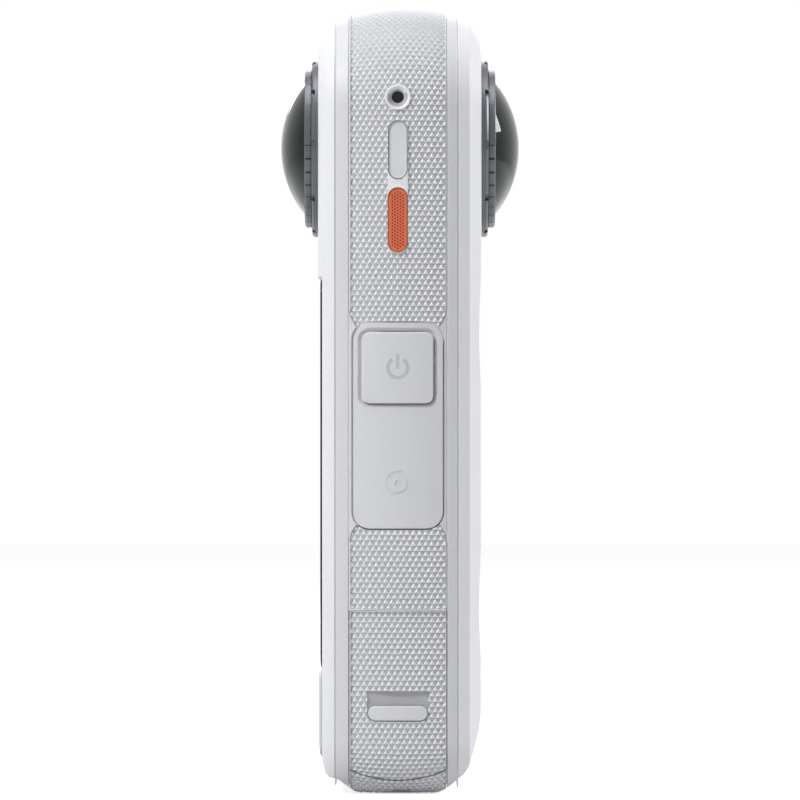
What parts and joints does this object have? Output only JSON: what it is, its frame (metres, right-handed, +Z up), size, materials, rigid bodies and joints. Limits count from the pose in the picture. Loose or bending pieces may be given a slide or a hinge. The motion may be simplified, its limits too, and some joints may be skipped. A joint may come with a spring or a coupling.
{
  "type": "360 degree camera",
  "caption": "Pocket 360 degree camera: upright white body with opposed fisheye lenses, touchscreen, side keys, textured grip, hinged port cover, slide-out battery and tripod socket.",
  "frame": {"origin": "centre of the flat base, on the surface that the camera stands on", "axes": "+Z up along the body; the touchscreen faces -Y and the rear shell +Y, with a lens each way; the side with the power button faces +X"},
  "size_m": [0.046, 0.0382, 0.1245],
  "materials": {
    "casing": "satin moulded polycarbonate, cool white",
    "grip": "satin moulded grip, cool white",
    "keys": "satin moulded plastic, light grey white",
    "orange": "matte orange",
    "light_window": "frosted light window",
    "ring_dark": "dark grey anodised, fine satin",
    "dome_glass": "coated optical glass",
    "lens_glass": "coated optical glass",
    "barrel_black": "matte black",
    "screen_glass": "black printed cover glass",
    "display": "black",
    "metal": "brushed steel",
    "alloy": "cast alloy, bead blasted",
    "board": "solder mask over glass epoxy",
    "seal": "soft silicone rubber",
    "battery": "dark moulded plastic",
    "black_part": "black moulded plastic",
    "mesh": "black acoustic mesh"
  },
  "bodies": {
    "root": {"mid_frame": "casing", "front_shell": "casing", "rear_shell": "casing", "top_grip": "grip", "side_grip": "grip", "base_grip": "grip", "side_key_board": "board", "side_key_switches": "metal", "side_board_screws": "metal", "port_mesh": "mesh", "status_light": "light_window", "mic_grille": "orange", "microphones": "metal", "touchscreen_glass": "screen_glass", "display_panel": "display", "display_tray": "black_part", "heat_spreader": "alloy", "front_key_board": "board", "front_key_switches": "metal", "usb_hinge_housing": "black_part", "usb_hinge_pin": "metal", "usb_bay": "black_part", "usb_receptacle": "metal", "usb_board": "board", "chassis": "alloy", "battery_contacts": "black_part", "card_socket": "metal", "memory_card": "black_part", "main_board": "board", "board_shields": "metal", "thermal_pad": "seal", "main_board_screws": "metal", "lens_carrier": "alloy", "speaker": "black_part", "tripod_bush": "metal", "front_lens_ring": "ring_dark", "front_objective": "lens_glass", "front_lens_barrel": "barrel_black", "front_relay_lens": "lens_glass", "front_sensor_board": "board", "rear_lens_ring": "ring_dark", "rear_objective": "lens_glass", "rear_lens_barrel": "barrel_black", "rear_relay_lens": "lens_glass", "rear_sensor_board": "board"},
    "power_button": {"power_button": "keys"},
    "quick_button": {"quick_button": "keys"},
    "shutter_button": {"shutter_button": "keys"},
    "lens_switch_button": {"lens_switch_button": "keys"},
    "usb_door": {"usb_door": "grip", "usb_seal": "seal"},
    "usb_latch": {"usb_latch": "keys"},
    "battery": {"battery_cover": "grip", "battery_pack": "battery", "battery_seal": "seal"},
    "battery_latch": {"battery_latch": "keys"},
    "front_lens_guard": {"front_guard_ring": "ring_dark", "front_guard_dome": "dome_glass"},
    "rear_lens_guard": {"rear_guard_ring": "ring_dark", "rear_guard_dome": "dome_glass"}
  },
  "joints": [
    {"name": "power_button_press", "type": "slide", "parent": "root", "child": "power_button", "axis": [-1, 0, 0], "range_m": [0, 0.00035], "stiffness_N_per_m": 900},
    {"name": "quick_button_press", "type": "hinge", "parent": "root", "child": "quick_button", "pos_m": [0.0219, -0.00035, 0.074], "axis": [0, 1, 0], "range_deg": [0, 0.8], "stiffness_Nm_per_rad": 4},
    {"name": "shutter_button_press", "type": "slide", "parent": "root", "child": "shutter_button", "axis": [0, 1, 0], "range_m": [0, 0.00035], "stiffness_N_per_m": 900},
    {"name": "lens_switch_button_press", "type": "slide", "parent": "root", "child": "lens_switch_button", "axis": [0, 1, 0], "range_m": [0, 0.00035], "stiffness_N_per_m": 900},
    {"name": "usb_door_hinge", "type": "hinge", "parent": "root", "child": "usb_door", "pos_m": [0.02125, 0, 0.02716], "axis": [0, -1, 0], "range_deg": [0, 85]},
    {"name": "usb_latch_slide", "type": "slide", "parent": "usb_door", "child": "usb_latch", "axis": [0, 0, 1], "range_m": [0, 0.0016]},
    {"name": "battery_slide", "type": "slide", "parent": "root", "child": "battery", "axis": [-1, 0, 0], "range_m": [0, 0.034]},
    {"name": "battery_latch_slide", "type": "slide", "parent": "battery", "child": "battery_latch", "axis": [0, 0, 1], "range_m": [0, 0.0016]},
    {"name": "front_lens_guard_turn", "type": "hinge", "parent": "root", "child": "front_lens_guard", "pos_m": [0, -0.015, 0.1024], "axis": [0, -1, 0], "range_deg": [0, 30]},
    {"name": "rear_lens_guard_turn", "type": "hinge", "parent": "root", "child": "rear_lens_guard", "pos_m": [0, 0.015, 0.1024], "axis": [0, 1, 0], "range_deg": [0, 30]}
  ]
}
